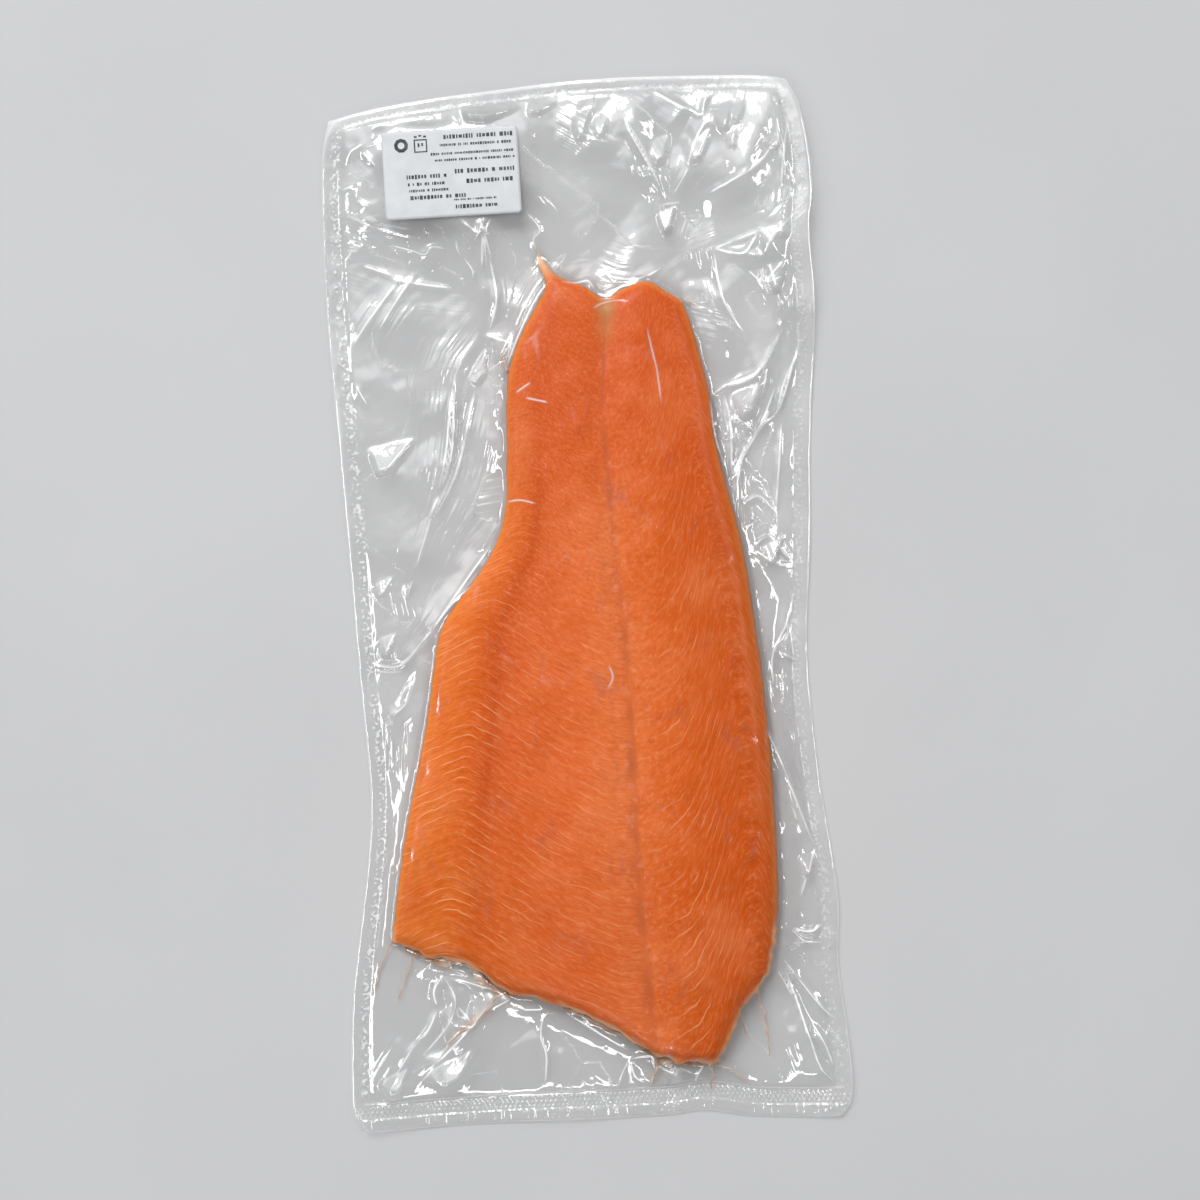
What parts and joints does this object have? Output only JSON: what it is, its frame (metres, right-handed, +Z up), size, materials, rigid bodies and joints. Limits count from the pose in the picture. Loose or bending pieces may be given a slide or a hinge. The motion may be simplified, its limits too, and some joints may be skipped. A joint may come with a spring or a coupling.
{
  "type": "frozen trout fillet pack",
  "caption": "Clear vacuum pouch lying flat round a whole skinless orange fish fillet, with a plain white paper label on its empty end.",
  "frame": {"origin": "centre of the pack's underside, on the surface it lies on", "axes": "+Z up, +Y along the pack towards the fillet's narrow tail end and the label, +X to the right seen from above"},
  "size_m": [0.21, 0.4386, 0.0188],
  "materials": {
    "pouch": "clear, glossy, creased",
    "fillet": "moist orange flesh under film",
    "label": "smooth white paper"
  },
  "bodies": {
    "root": {"pouch": "pouch", "fillet": "fillet", "label": "label"}
  },
  "joints": []
}
